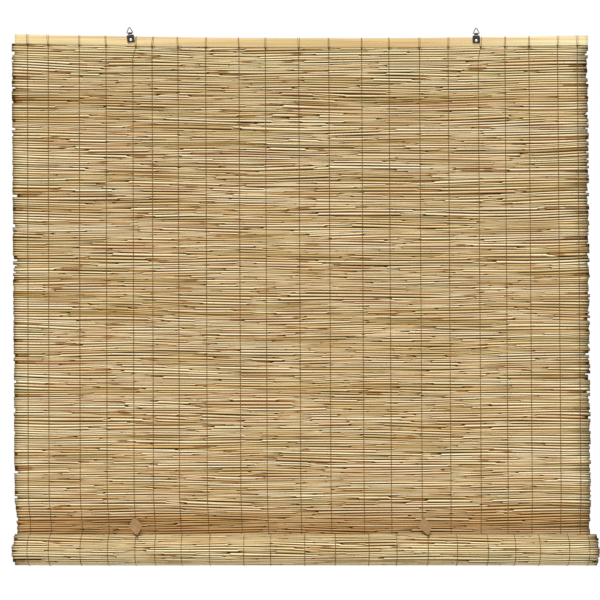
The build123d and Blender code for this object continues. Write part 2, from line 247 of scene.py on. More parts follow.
def reedLook():
    look = Look("reed")
    tone = look.attribute("tone")  # one random number for each reed
    side = look.attribute("side")  # -1 in the crevice below a reed, 1 in the one above it
    cut = look.attribute("cut")  # 1 at the bottom of a hollow end, where painted shade is darkest
    stain = look.attribute("stain")  # up to 1 where the rows get painted brown shade, down to -1 where they are pale
    fromStart, fromEnd = look.attribute("fromStart"), look.attribute("fromEnd")  # metres
    tipStart, tipEnd = look.attribute("tipStart"), look.attribute("tipEnd")  # 1 where the end is a tip
    leaf = look.attribute("leaf")  # length of the sheath that is left at a tip, in metres
    seed = tone * 40
    fibres = look.noise((22, 1500, 1500), 4.0, seed)
    patches = look.noise((9, 60, 60), 2.0, seed)
    regions = look.noise((3, 3, 6), 2.0, 3.0)
    shadeDepth = look.noise((7, 40, 40), 1.0, seed + 9).over(0.3, 0.7)  # how dark the painted shade in a crevice is

    def nearEnd(length, startWeight, endWeight):  # 1 at the ends, falling to 0 over a length
        first = (1 - fromStart / length) * startWeight
        last = (1 - fromEnd / length) * endWeight
        return look.most(look.most(first, last), 0.0)

    shift = tone * 0.8 + (patches - 0.5) * 0.85 + (regions - 0.5) * 0.4 + 0.12
    straw = look.ramp(shift, peel["straw"])
    straw = look.shade(fibres.over(0.2, 0.8) * 0.24 + 0.86, straw)
    straw = look.mix(stain * -1.0, straw, peel["pale"])
    butt = nearEnd(peel["buttLength"], 1 - tipStart, 1 - tipEnd)
    straw = look.mix(butt.over(0.05, 0.7) * tone.over(0.2, 0.6), straw, peel["butt"])
    aged = nearEnd(peel["agedLength"], tipStart, tipEnd) * patches.over(0.25, 0.6)
    straw = look.mix(aged * 0.6, straw, peel["aged"])
    sheath = look.most((1.35 - fromStart / leaf) * tipStart, (1.35 - fromEnd / leaf) * tipEnd)
    ragged = (sheath + (patches - 0.5) * 0.8).over(0.4, 0.62)
    colour = look.mix(ragged * 0.9, straw, look.ramp(fibres, peel["sheath"]))
    node = look.math("PINGPONG", fromStart * peel["ringsPerMetre"] + tone * 7, 0.5)
    colour = look.mix((1 - node.over(0.003, 0.009)) * 0.3, colour, peel["ring"])
    # painted shade: the rows just above the roll turn brown
    colour = look.mix(stain * 0.85, colour, look.ramp(patches, peel["footShade"]))
    # dark at each reed's end, most at a tip: partly the tip's own colour, partly painted shade of the gap
    # beside the end
    dot = nearEnd(peel["tipLength"], tipStart * 0.8 + 0.2, tipEnd * 0.8 + 0.2)
    colour = look.mix(dot.over(0.0, 0.4) * 0.95, colour, peel["tip"])
    # painted shade: a reed's lower side is mixed toward a golden shade colour, as for light from above
    colour = look.mix((1 - side.over(-0.7, 0.6)) * 0.6, colour, peel["lowerShade"])
    # painted shade in both crevices of a reed, darker below it than above it, as for light from above
    paintedShade = look.most(1 - side.over(-0.6, 0.45), side.over(0.3, 0.9)) * (shadeDepth * 0.16 + 0.84)
    colour = look.mix(paintedShade, colour, look.mix(shadeDepth, *peel["crevice"]))
    # painted shade inside a hollow end, darkest at its bottom
    colour = look.mix(cut, colour, peel["hollow"])
    return look.finish({
        "Base Color": colour,
        "Roughness": fibres * 0.1 + 0.58,
        "Specular IOR Level": 0.12,  # dry and dull
        "Normal": look.bump(fibres, 0.35, 0.0003),
    })


alongSlat = (  # its colour from the left end to the right one
    (0.0, (226, 206, 152)), (0.2, (220, 197, 144)), (0.28, (212, 184, 131)),
    (0.45, (200, 174, 119)), (0.72, (202, 176, 121)), (0.95, (232, 218, 172)),
)


def slatLook():
    look = Look("slat")
    grain = look.noise((5, 330, 330), 5.0)
    waves = look.noise((1.4, 110, 150), 3.0, 5.0)
    along = look.node("ShaderNodeSeparateXYZ", {}, {0: look.place((0.8, 1, 1))}, out="X")
    plain = look.ramp(along + 0.5 + (waves - 0.5) * 0.16, alongSlat)
    rosy = look.mix(waves.over(0.42, 0.66) * 0.75, plain, (204, 164, 110))
    wood = look.shade(grain.over(0.3, 0.7) * 0.22 + 0.84, rosy)
    cracks = look.noise((3.4, 250, 620), 1.0, 12.0).over(0.66, 0.7)
    wood = look.mix(cracks * 0.7, wood, (140, 98, 52))
    bump = look.bump(grain, 0.3, 0.0004)
    return look.finish({"Base Color": wood, "Roughness": grain * 0.2 + 0.5, "Normal": bump})


strandLay = 2200  # radians per metre, three and a half turns in a centimetre


def twineLook():
    look = Look("twine")
    turn = look.attribute("along") * strandLay
    upward = look.math("SINE", turn) * look.attribute("aroundCos")
    sideways = look.math("COSINE", turn) * look.attribute("aroundSin")
    lay = (upward + sideways) * 0.5 + 0.5
    fuzz = look.noise((700, 700, 700))
    fibre = look.mix(lay * 0.6 + fuzz * 0.5, (76, 50, 12), (140, 104, 46))
    fibre = look.mix(look.attribute("soiled") * 0.8, fibre, (44, 28, 12))
    bump = look.bump(lay + fuzz * 0.5, 0.6, 0.0003)
    return look.finish({"Base Color": fibre, "Roughness": 0.9, "Normal": bump})


metalFinishes = {  # dark and bright colour, least roughness, and the scratches for each metre of an axis
    "darkStrap": ((48, 42, 40), (104, 98, 96), 0.36, (2500, 2500, 300)),
    "steelWire": ((70, 72, 76), (124, 126, 132), 0.32, (3000, 3000, 3000)),
    "brightScrew": ((244, 244, 246), (255, 255, 255), 0.3, (1500, 1500, 1500)),
}
highlightGrey = (146, 146, 150)  # painted highlight, where the strap's neck and shoulder catch the light


def metalLook(name):
    look = Look(name)
    dark, bright, roughness, scratches = metalFinishes[name]
    wear = look.noise((900, 900, 900), 4.0)
    lines = look.noise(scratches, 2.0, 4.0)
    colour = look.mix(wear.over(0.35, 0.75) * 0.7 + lines * 0.3, dark, bright)
    # painted highlight, only on the strap
    colour = look.mix(look.attribute("worn") * 0.6, colour, highlightGrey)
    return look.finish({
        "Base Color": colour,
        "Metallic": 1.0,
        "Roughness": wear * 0.2 + roughness,
        "Normal": look.bump(lines + wear, 0.2, 0.0001),
    })


def leatherLook():
    look = Look("tabLeather")
    pores = look.node("ShaderNodeTexVoronoi", {}, {"Vector": look.place((1, 1, 1)), "Scale": 900.0})
    mottle = look.noise((120, 120, 120), 4.0)
    rim = look.attribute("rim")  # 1 at the cut edge
    hide = look.mix(mottle.over(0.3, 0.7), (124, 94, 56), (142, 110, 69))
    hide = look.mix(rim * 0.6, hide, (162, 132, 92))
    bump = look.bump(pores + mottle, 0.35, 0.0003)
    return look.finish({"Base Color": hide, "Roughness": mottle * 0.15 + 0.6, "Normal": bump})


def floorLook():
    look = Look("paleFloor")
    speckle = look.mix(look.noise((30, 30, 30)), (238, 237, 235), (244, 243, 241))
    return look.finish({"Base Color": speckle, "Roughness": 0.8})


print("stage: materials")
reedMaterial = reedLook()
slatMaterial = slatLook()
twineMaterial = twineLook()
strapMaterial = metalLook("darkStrap")
wireMaterial = metalLook("steelWire")
screwMaterial = metalLook("brightScrew")
tabMaterial = leatherLook()


# Meshes
def straighten(mesh, reach):  # joins points nearer than reach, and turns all faces outwards
    shape = bmesh.new()
    shape.from_mesh(mesh)
    if reach:
        bmesh.ops.remove_doubles(shape, verts=shape.verts, dist=reach)
    bmesh.ops.recalc_face_normals(shape, faces=shape.faces)
    shape.to_mesh(mesh)
    shape.free()


def makePiece(name, points, faces, material, body, replaced, attributes=None, crease=None):
    mesh = bpy.data.meshes.new(name)
    mesh.from_pydata(points.reshape(-1, 3).tolist(), [], faces)
    for key, values in (attributes or {}).items():
        mesh.attributes.new(key, "FLOAT", "POINT").data.foreach_set("value", values.astype(np.float32))
    mesh.polygons.foreach_set("use_smooth", np.full(len(mesh.polygons), True))
    mesh.materials.append(material)
    mesh.update()
    straighten(mesh, 0)
    if crease:
        mesh.set_sharp_from_angle(angle=crease)
    piece = bpy.data.objects.new(name, mesh)
    bpy.context.scene.collection.objects.link(piece)
    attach(piece, body)
    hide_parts(*replaced)
    return piece


def ringFaces(rings, count, first=0, closed=False):
    # quads between neighbouring rings of count points, and a cap on each end of an open tube
    here = np.arange(rings if closed else rings - 1)[:, None] * count
    following = (here + count) % (rings * count)
    step = np.arange(count)
    after = (step + 1) % count
    quads = np.stack([here + step, here + after, following + after, following + step], axis=-1)
    faces = (quads.reshape(-1, 4) + first).tolist()
    if not closed:
        last = (rings - 1) * count + first
        faces.append(list(range(first + count - 1, first - 1, -1)))
        faces.append(list(range(last, last + count)))
    return faces


def unit(vectors):
    return vectors / np.linalg.norm(vectors, axis=-1, keepdims=True)


def smooth(low, high, value):  # 0 at low, 1 at high, level at both
    share = np.clip((value - low) / (high - low), 0, 1)
    return share * share * (3 - 2 * share)


class Bundle:  # several tubes in one mesh, with where each point lies along and around its tube
    def __init__(self):
        self.points, self.faces, self.along, self.around, self.soiled = [], [], [], [], []
        self.count = 0

    def addTube(self, path, radius, corners, across=(1, 0, 0), closed=False, soiled=0.0):
        # ring k is the path's point k plus radius times (across cos a + binormal sin a)
        ahead = np.roll(path, -1, axis=0) - np.roll(path, 1, axis=0)
        if not closed:
            ahead[0], ahead[-1] = path[1] - path[0], path[-1] - path[-2]
        ahead = unit(ahead)
        across = np.broadcast_to(np.array(across, float), path.shape)
        binormal = unit(np.cross(ahead, across))
        normal = np.cross(binormal, ahead)
        angle = np.arange(corners) * 2 * np.pi / corners
        radius = np.broadcast_to(np.asarray(radius, float), (len(path),))[:, None, None]
        spokes = normal[:, None] * np.cos(angle)[:, None] + binormal[:, None] * np.sin(angle)[:, None]
        self.points.append((path[:, None, :] + spokes * radius).reshape(-1, 3))
        self.faces += ringFaces(len(path), corners, self.count, closed)
        reach = np.concatenate([[0], np.cumsum(np.linalg.norm(np.diff(path, axis=0), axis=1))])
        self.along.append(np.repeat(reach, corners))
        self.around.append(np.tile(angle, len(path)))
        self.soiled.append(np.full(len(path) * corners, soiled))
        self.count += len(path) * corners

    def make(self, name, replaced, material=twineMaterial, body="blind"):
        around = np.concatenate(self.around)
        attributes = {
            "along": np.concatenate(self.along),
            "aroundCos": np.cos(around),
            "aroundSin": np.sin(around),
            "soiled": np.concatenate(self.soiled),
        }
        makePiece(name, np.concatenate(self.points), self.faces, material, body, replaced, attributes)


# Head rail: the slat sags between its hangers
rail = {
    "halfLength": 0.6095,
    "halfHeight": 0.01025,
    "depth": 0.0085,
    "crown": 0.001,
    "round": 0.0013,
    "rises": (0.0085, 0.0057),  # of its left and right end over its middle
    "stations": 150,
    "wander": 0.00018,
    "waves": (17, 41),  # radians per metre
}


def railRise(x):  # parabola through the rail's two ends and its middle
    share = x / rail["halfLength"]
    left, right = rail["rises"]
    return (left + right) / 2 * share**2 + (right - left) / 2 * share


def railSection():
    # a rectangle with round corners, whose front bulges by crown (1 - z^2 / halfHeight^2)
    front, half, rounding = rail["depth"] / 2, rail["halfHeight"], rail["round"]
    angle = np.arange(16) * np.pi / 8 + np.pi / 16
    corner = np.stack([
        np.sign(np.cos(angle)) * (front - rounding) + rounding * np.cos(angle),
        np.sign(np.sin(angle)) * (half - rounding) + rounding * np.sin(angle),
    ], axis=1)
    rows = np.linspace(half * 0.75, -half * 0.75, 7)
    face = np.stack([np.full(len(rows), -front), rows], axis=1)
    outline = np.concatenate([corner[:8], face, corner[8:]])
    outline[:, 0] += np.where(outline[:, 0] < 0, rail["crown"] * (outline[:, 1] / half) ** 2, 0)
    return outline


def makeRail():
    outline = railSection()
    x = np.linspace(-1, 1, rail["stations"])[:, None] * rail["halfLength"]
    slow, quick = rail["waves"]
    wave = rail["wander"] * (np.sin(x * slow + 1) + 0.6 * np.sin(x * quick))
    y = outline[None, :, 0] - rail["depth"] / 2 + wave * 0.5
    z = outline[None, :, 1] + railRise(x) + wave
    points = np.stack([np.broadcast_to(x, y.shape), y, z], axis=-1)
    faces = ringFaces(len(x), len(outline))
    makePiece("headRail", points, faces, slatMaterial, "blind", ["head_rail"])


print("stage: head rail")
makeRail()


# Reeds: rows of overlapping reeds, hanging as a mat and rolled up at its foot
mat = {
    "left": -0.6158,
    "right": 0.6082,
    "drift": 0.0068,  # how far the foot stands to the right of the top
    "front": -0.00635,
    "thickness": 0.0042,
    "foot": -1.074,
    "underRail": 0.0006,
    "rows": 213,
    "unevenRows": 0.22,
    "waveLengths": (0.95, 0.43, 0.27),
    "waveHeights": (0.0022, 0.0014, 0.0005),
    "waveChange": 0.7,  # from one row to the next
    "edgeCalm": 0.25,  # the waves' share in the first and the last edge
    "ragged": (0.0012, 0.0028),
    "footShadeRows": (18, 12),  # painted brown shade lies on the rows just above the roll
    "paleRows": (190, 208),  # and pale ones below the rail
    "gather": (0.0015, -0.006),  # near the foot the mat draws in, by the first plus x times the second
    "gatherHeight": 0.12,
}
roll = {
    "radius": 0.035,
    "turnPitch": 0.0043,
    "turns": 4.59,
    "left": -0.6062,
    "right": 0.6248,
    "rowPitch": 0.00505,
    "stain": -0.85,
    "ragged": (0.0026, 0.003),
    "endRound": 0.003,  # how far the roll's ends draw in at its top and foot
}
reed = {
    "length": 0.28,
    "lengthSpread": 0.08,
    "longest": 0.7,
    "leastFirst": 0.085,
    "leastNext": 0.1,  # past the stretch it shares with the one before
    "leastRest": 0.06,  # of a row, and between a reed's two shared stretches
    "overlap": (0.02, 0.12),
    "step": 0.0022,
    "tipShare": (0.28, 0.46),
    "buttShare": (0.42, 0.6),
    "edgeTips": 0.09,  # share of the ends at the mat's edges that are tips
    "recessed": 0.07,  # share of those ends that stand back, and how far
    "recess": (0.002, 0.009),
    "thickness": (0.9, 1.04),  # times the mat's
    "press": 0.001,  # how far neighbours press into each other
    "corners": 6,  # of the section: flat in front and behind, an edge in each crevice
    "crevice": 1.2,  # the painted shade of the crevices comes up this much further on a reed's face
    "hollow": 0.004,
    "bore": 0.55,
    "sheathLength": (0.014, 0.065),
    "sheathed": 0.75,  # share of the tips whose sheath is that long
}


def planRow(left, right):
    # one row as a chain of reeds: start and end, then for the stretch at either end its length, the share of
    # the row's height at its left and right, whether the reed lies high there, and whether it ends in a tip
    starts, ends, openings, closings = [left], [], [None], []
    reach = left + dice.uniform(reed["leastFirst"], reed["length"] * 1.15)
    shared = 0.0
    while True:
        overlap = min(dice.uniform(*reed["overlap"]), reach - starts[-1] - shared - reed["leastRest"])
        if reach > right - reed["leastRest"]:
            break
        ends.append(reach)
        starts.append(reach - overlap)
        tipFirst = dice.random() < 0.5
        thin, thick = dice.uniform(*reed["tipShare"]), dice.uniform(*reed["buttShare"])
        high = dice.random() < 0.5
        if tipFirst:  # a tip over the next reed's butt, or a butt over its tip: the shares add up to 1
            closing, opening = (thick, thin, not high, 1.0), (1 - thick, 1 - thin, high, 0.0)
        else:
            closing, opening = (1 - thin, 1 - thick, not high, 0.0), (thin, thick, high, 1.0)
        closings.append((overlap, *closing))
        openings.append((overlap, *opening))
        shared = overlap
        length = dice.normal(reed["length"], reed["lengthSpread"])
        reach = reach - overlap + np.clip(length, overlap + reed["leastNext"], reed["longest"])
    reeds = []
    for start, end, opening, closing in zip(starts, [*ends, right], openings, [*closings, None]):
        spare = (end - start - (opening or closing)[0]) * 0.4  # a stretch of full width at the mat's edge
        plain = (spare, 1.0, 1.0, True, float(dice.random() < reed["edgeTips"]))
        reeds.append((start, end, *(opening or plain), *(closing or plain)))
    return reeds


def planRows(lefts, rights, ragged):  # the reeds of all rows, and the row of each
    plans, rowOf = [], []
    for row, (left, right) in enumerate(zip(lefts, rights)):
        shy = np.abs(dice.normal(0, ragged)) - ragged
        shy = shy + (dice.random(2) < reed["recessed"]) * dice.uniform(*reed["recess"], 2)
        chain = planRow(left + shy[0], right - shy[1])
        plans += chain
        rowOf += [row] * len(chain)
    return np.array(plans, float), np.array(rowOf)


def capped(values, scale=1.0, inset=0.0):  # with the first and last column again, for the hollows' bottoms
    return np.concatenate([values[:, :1] * scale + inset, values, values[:, -1:] * scale - inset], axis=1)


def makeReeds(name, rowEdges, lefts, rights, ragged, place, replaced, rowShadeAndPale):
    # reeds as tubes: x along the reed, u up the row, v out of the mat; place(row, x, u, v) puts them in space
    plan, rowOf = planRows(lefts, rights, ragged)
    start, end, stretchA, shareA0, shareA1, highA, tipA, stretchB, shareB0, shareB1, highB, tipB = plan.T
    total, corners = len(plan), reed["corners"]
    one = np.ones(total)
    fromA, toB = start + stretchA, end - stretchB  # between them the reed has its full width
    middle = (fromA + end - stretchB) / 2
    step = np.minimum(reed["step"], (end - start - stretchA - stretchB) / 4)
    x = np.stack([
        start, start + stretchA * 0.5, fromA - step * 2, fromA, middle,
        toB, toB + step * 2, end - stretchB * 0.5, end,
    ], axis=1)
    share = np.stack([
        shareA0, (shareA0 + shareA1) / 2, shareA1, one, one, one, shareB0, (shareB0 + shareB1) / 2, shareB1,
    ], axis=1)
    high = np.stack([highA] * 4 + [one] + [highB] * 4, axis=1) > 0.5
    wave = np.cumsum(dice.normal(0, mat["waveChange"], (len(rowEdges), len(mat["waveLengths"]))), axis=0)

    def edgeAt(row, x):  # a row's edge is its own height plus three slow waves along x
        turns = 2 * np.pi * x[..., None] / mat["waveLengths"]
        sway = (np.sin(turns + wave[row][:, None, :]) * mat["waveHeights"]).sum(-1)
        calm = np.where((row == 0) | (row == len(rowEdges) - 1), mat["edgeCalm"], 1.0)
        return rowEdges[row][:, None] + sway * calm[:, None]

    low, top = edgeAt(rowOf, x), edgeAt(rowOf + 1, x)
    height = top - low
    floor, ceiling = np.where(high, 1 - share, 0), np.where(high, 1, share)
    centre = low + (floor + ceiling) / 2 * height
    halfHeight = (ceiling - floor) / 2 * height + reed["press"]
    thick = mat["thickness"] / 2 * dice.uniform(*reed["thickness"], total)[:, None]
    halfThick = np.minimum(thick, halfHeight * 1.15)
    forward = np.where(dice.random(total) < 0.6, 1, -1)[:, None] * (thick - halfThick) * 0.8

    x = capped(x, inset=reed["hollow"])
    centre, forward = capped(centre), capped(forward)
    halfHeight, halfThick = (capped(values, reed["bore"]) for values in (halfHeight, halfThick))
    rings = x.shape[1]
    angle = (np.arange(corners) + 0.5) * 2 * np.pi / corners
    u = centre[..., None] + halfHeight[..., None] * np.sin(angle)
    v = forward[..., None] - halfThick[..., None] * np.cos(angle) / np.cos(np.pi / corners)
    points = place(rowOf[:, None, None], np.broadcast_to(x[..., None], u.shape), u, v)
    pattern = ringFaces(rings, corners)  # the quads of one reed, and its two caps
    offset = np.arange(total)[:, None, None] * rings * corners
    faces = (np.array(pattern[:-2]) + offset).reshape(-1, 4).tolist()
    faces += (np.array(pattern[-2:]) + offset).reshape(-1, corners).tolist()

    def spread(values):  # one value for each reed or each ring, on all its points
        return np.repeat(values.reshape(-1), total * rings * corners // values.size)

    leaf = dice.uniform(*reed["sheathLength"], total)
    leaf = leaf * np.where(dice.random(total) < reed["sheathed"], 1, 0.2)
    sawn = np.array([1.0] + [0.0] * (rings - 2) + [1.0])
    attributes = {
        "tone": spread(dice.random(total)),
        "leaf": spread(leaf),
        "stain": spread(rowShadeAndPale[rowOf] * dice.uniform(0.3, 1, total)),
        "tipStart": spread(tipA),
        "tipEnd": spread(tipB),
        "fromStart": spread(x - start[:, None]),
        "fromEnd": spread(end[:, None] - x),
        "cut": spread(np.tile(sawn, total)),
        "side": np.tile(np.sin(angle) * reed["crevice"], total * rings),
    }
    makePiece(name, points, faces, reedMaterial, "blind", replaced, attributes)
    return edgeAt


rollCentre = (mat["front"] + mat["thickness"] - roll["radius"], mat["foot"])


def gatherAt(x, z):
    start, slope = mat["gather"]
    return (start + slope * x) * smooth(mat["gatherHeight"], roll["radius"], z - mat["foot"])


def makeMat():
    height = -mat["foot"] - rail["halfHeight"]
    steps = dice.uniform(1 - mat["unevenRows"], 1 + mat["unevenRows"], mat["rows"])
    edges = np.concatenate([[0], np.cumsum(steps)]) / steps.sum() * height
    lean = mat["drift"] * (1 - (edges[1:] + edges[:-1]) / 2 / height)
    lefts, rights = mat["left"] + lean, mat["right"] + lean
    rows = np.arange(mat["rows"])
    # painted brown shade on the rows just above the roll; below 0, the pale rows under the rail
    rowShadeAndPale = smooth(*mat["footShadeRows"], rows) - smooth(*mat["paleRows"], rows)

    def place(row, x, u, v):  # heights are stretched so that the top row follows the sagging rail
        top = railRise(x) - rail["halfHeight"] - mat["underRail"]
        y = np.broadcast_to(mat["front"] + mat["thickness"] / 2 + v, x.shape)
        z = mat["foot"] + u / height * (top - mat["foot"])
        return np.stack([x + gatherAt(x, z), y, z], axis=-1)

    edgeAt = makeReeds("reedMat", edges, lefts, rights, mat["ragged"], place, ["reed_mat"], rowShadeAndPale)

    def crevices(x):  # heights of the crevices between the rows at one x, from the foot up
        rows = np.arange(mat["rows"] + 1)
        xs = np.full((len(rows), 1), x)
        return place(rows, xs, edgeAt(rows, xs), 0)[:, 0, 2]

    return crevices


def turnRadius(angle):  # of the middle of the mat's thickness, which winds inwards
    return roll["radius"] - mat["thickness"] / 2 - roll["turnPitch"] * angle / (2 * np.pi)


def rollAngles():
    # a row's angle grows by its pitch over the radius of its turn
    angles = [0.0]
    while angles[-1] < 2 * np.pi * roll["turns"]:
        angles.append(angles[-1] + roll["rowPitch"] / turnRadius(angles[-1]))
    return np.array(angles)


def makeRoll():
    angles = rollAngles()
    centres = (angles[1:] + angles[:-1]) / 2
    radii = turnRadius(centres)
    rowEdges = np.concatenate([[0], np.cumsum(radii * np.diff(angles))])
    middles = (rowEdges[1:] + rowEdges[:-1]) / 2

    def place(row, x, u, v):
        angle = centres[row] + (u - middles[row]) / radii[row]
        radius = radii[row] - v
        y = rollCentre[0] + radius * np.cos(angle)
        z = rollCentre[1] - radius * np.sin(angle)
        return np.stack([x, y, z], axis=-1)

    inset = roll["endRound"] * np.sin(centres) ** 2
    lefts, rights = roll["left"] + inset, roll["right"] - inset
    pale = np.full(len(centres), roll["stain"])
    makeReeds("reedRoll", rowEdges, lefts, rights, roll["ragged"], place, ["reed_roll"], pale)


print("stage: reeds")
crevicesAt = makeMat()
makeRoll()

# Warp strings: down the front and the back of the reeds, round the roll, and looped double round the rail
strings = {
    # gaps from one string to the next, in proportion
    "steps": (44, 66, 57, 57, 41, 55, 59, 71, 56, 71, 64, 70, 58, 65, 61, 64, 57, 51, 61, 42),
    "first": -0.5826,
    "last": 0.5872,
    "footShift": (0.0017, 0.009),  # of the outer two, from the rail to the foot
    "rollShift": 0.0074,
    "rollBulge": 0.004,  # the strings bow outwards at the roll's front, by this share of x
    "shiftLength": 0.07,
    "settleLength": 0.026,
    "gatherEnd": 0.03,  # they follow the mat's gather down to this height above its foot
    "frontEnd": 0.006,  # the front strand ends this far above the foot
    "nip": 0.22,  # and the back one this many radians short of a full turn
    "backStart": -0.0012,
    "radius": 0.0009,
    "proud": 0.0003,
    "dip": 0.0007,
    "soiled": (0.1, 0.25),  # in front and behind
    "tieRadius": 0.00045,
    "tieFoot": (0.002, 0.0034),  # how far apart the two loops lie at the knot
    "tieTop": (0.0008, 0.0042),  # and at the top of the rail
    "tieLean": 0.001,
    "knotAt": (0.0018, 0.0007),  # out of the mat's front, and down from the rail's underside
    "coil": (0.0008, 0.0034, 3),  # radius, length and turns of the knot
    "tailLength": 0.008,
    "tailSpread": (0.7, 1.15),
    "tailDroop": (-0.0025, 0.0008),
    "asideOf": {4: "left", 16: "right"},  # strings tied just to the right of a strap
    "asideGap": 0.0018,
}
hanger = {
    "sheet": 0.0008,
    "halfWidth": 0.0078,
    "halfNeck": 0.0041,
    "neck": -0.0029,  # heights from the ring's bar
    "shoulder": -0.0051,
    "screw": -0.0145,
    "foot": -0.0202,
    "corner": 0.0009,
    "barrel": 0.00138,
    "swell": 0.0005,
    "worn": (-0.0035, 0.001),  # a painted highlight lies about this height, and how far from it it reaches
}
stringSteps = np.concatenate([[0], np.cumsum(strings["steps"])]) / sum(strings["steps"])
stringTops = strings["first"] + stringSteps * (strings["last"] - strings["first"])
stringFeet = stringTops + np.linspace(*strings["footShift"], len(stringTops))


def hangerFrame(side):  # the middle of the ring's bar, and the directions across, up and out of the strap
    joint = joints[side + "_ring_swing"]
    across = unit(np.array(joint["axis"], float))
    up, out = np.array([-across[2], 0, across[0]]), np.array([0, -1.0, 0])
    return np.array(joint["pos_m"], float), across, up, out


def tieX(i):
    if i not in strings["asideOf"]:
        return stringTops[i]
    bar, across, up, out = hangerFrame(strings["asideOf"][i])
    corners = [bar + up * hanger[key] + across * hanger["halfWidth"] for key in ("foot", "shoulder")]
    return max(corner[0] for corner in corners) + strings["asideGap"]


def coil(middle, axis, first, second, radius, length, turns):
    # a helix about the axis, starting from the direction first
    share = np.linspace(0, 1, int(turns * 9) + 1)[:, None]
    angle = share * turns * 2 * np.pi
    return middle + axis * (share - 0.5) * length + (first * np.cos(angle) + second * np.sin(angle)) * radius


def weave(low, high, flat, proud, dip):
    # heights from high to low, each crevice between two crests: the path is nearer the reeds in the crevices
    heights = np.stack([high, (high + low) / 2], axis=1).reshape(-1)
    depths = np.tile([flat + dip, flat - proud], len(high))
    return heights, depths


def makeString(i):
    bundle = Bundle()
    tie, top, foot = tieX(i), stringTops[i], stringFeet[i]
    under, low = railRise(tie) - rail["halfHeight"], mat["foot"]
    edges = crevicesAt(top)[::-1]  # from the rail down

    def across(z):
        # x runs straight from the rail to the foot, and near the rail it comes over from the tie
        share = (edges[0] - z) / (edges[0] - low)
        settle = np.clip(1 - (edges[0] - z) / strings["settleLength"], 0, 1)
        x = top + (foot - top) * share + (tie - top) * settle
        return x + gatherAt(x, z) * (z > low + strings["gatherEnd"])

    front, back = mat["front"], mat["front"] + mat["thickness"]
    z, y = weave(edges[1:], edges[:-1], front, strings["proud"], strings["dip"])
    x = across(z)
    outBy, downBy = strings["knotAt"]
    knotMiddle = np.array([tie, front - outBy, under - downBy])
    frontPath = np.stack([x, y, z], axis=1)[z > low + strings["frontEnd"]]
    frontPath = np.concatenate([[knotMiddle], frontPath])
    bundle.addTube(frontPath, strings["radius"], 4, soiled=strings["soiled"][0])

    shift = np.clip((low + strings["shiftLength"] - z) / strings["shiftLength"], 0, 1)
    backPath = np.stack([x + strings["rollShift"] * shift, back + front - y, z], axis=1)
    angles = rollAngles()
    angles = angles[angles < 2 * np.pi - strings["nip"]]
    turn = np.stack([(angles[:-1] + angles[1:]) / 2, angles[1:]], axis=1).reshape(-1)
    stand = np.tile([strings["proud"], -strings["dip"]], len(turn) // 2)
    radius = roll["radius"] - roll["turnPitch"] * turn / (2 * np.pi) + stand
    wrapPath = np.stack([
        (foot + strings["rollShift"]) * (1 - strings["rollBulge"] * np.cos(turn)),
        rollCentre[0] + radius * np.cos(turn),
        rollCentre[1] - radius * np.sin(turn),
    ], axis=1)
    backPath = np.concatenate([[(tie, strings["backStart"], under)], backPath, wrapPath])
    bundle.addTube(backPath, strings["radius"], 4, soiled=strings["soiled"][1])
    addTie(bundle, tie, knotMiddle)
    name = f"{i + 1:02d}"
    bundle.make("warpString" + name, ["warp_string_" + name])


def addTie(bundle, tie, knotMiddle):
    # two loops round the rail, standing apart at its top: corners of the way round, y and height
    gap, half = strings["tieRadius"], rail["halfHeight"]
    depth, crown = rail["depth"], rail["crown"]
    edge, belly = crown - depth, crown * 0.3 - depth  # the front's top and foot, and nearer its middle
    loop = np.array([
        (edge - gap, -half), (belly - gap, -half * 0.6), (-depth - gap, 0), (belly - gap, half * 0.6),
        (edge - gap, half - gap), (edge + gap * 2, half + gap), (-gap * 3, half + gap), (gap, half - gap),
        (gap, -half + gap), (-gap * 3, -half - gap), (-depth / 2, -half - gap), (edge + gap, -half - gap),
    ])
    apart, topApart = dice.uniform(*strings["tieFoot"]), dice.uniform(*strings["tieTop"])
    lean = dice.normal(0, strings["tieLean"])
    share = (loop[:, 1] + half) / (2 * half)
    for turnSide in (-0.5, 0.5):
        x = tie + turnSide * (apart + (topApart - apart) * share) + lean * share
        path = np.stack([x, loop[:, 0], loop[:, 1] + railRise(x)], axis=1)
        bundle.addTube(path, gap, 5, closed=True)
    ahead, outward, upward = np.eye(3) * np.array([1, -1, 1])[:, None]
    bundle.addTube(coil(knotMiddle, ahead, outward, upward, *strings["coil"]), gap, 5, soiled=1)
    share = np.linspace(0, 1, 6)[:, None]
    droop = dice.uniform(*strings["tailDroop"])
    length = strings["tailLength"] * dice.uniform(*strings["tailSpread"])
    tail = knotMiddle + ahead * share * length + upward * share**2 * droop
    bundle.addTube(tail + outward * 0.0004, gap * (1 - share[:, 0] * 0.3), 5, (0, 1, 0), soiled=1)


print("stage: strings")
for i in range(len(stringTops)):
    makeString(i)


# Hangers: a folded strap whose barrel holds the wire ring, and the screw that fixes it
ring = {"wire": 0.0009, "base": 0.0141, "height": 0.0136, "corner": 0.0015, "apex": 0.0018, "steps": 7}
screw = {
    "head": 0.0027,
    "height": 0.0017,
    "faceRings": 21,
    "shank": 0.0013,
    "shankLength": 0.0076,
    "recess": (0.00035, 0.0015),  # half the width and half the length of each arm of the cross
    "recessDepth": 0.0008,
    "turned": {"left": 0.35, "right": 1.0},
}


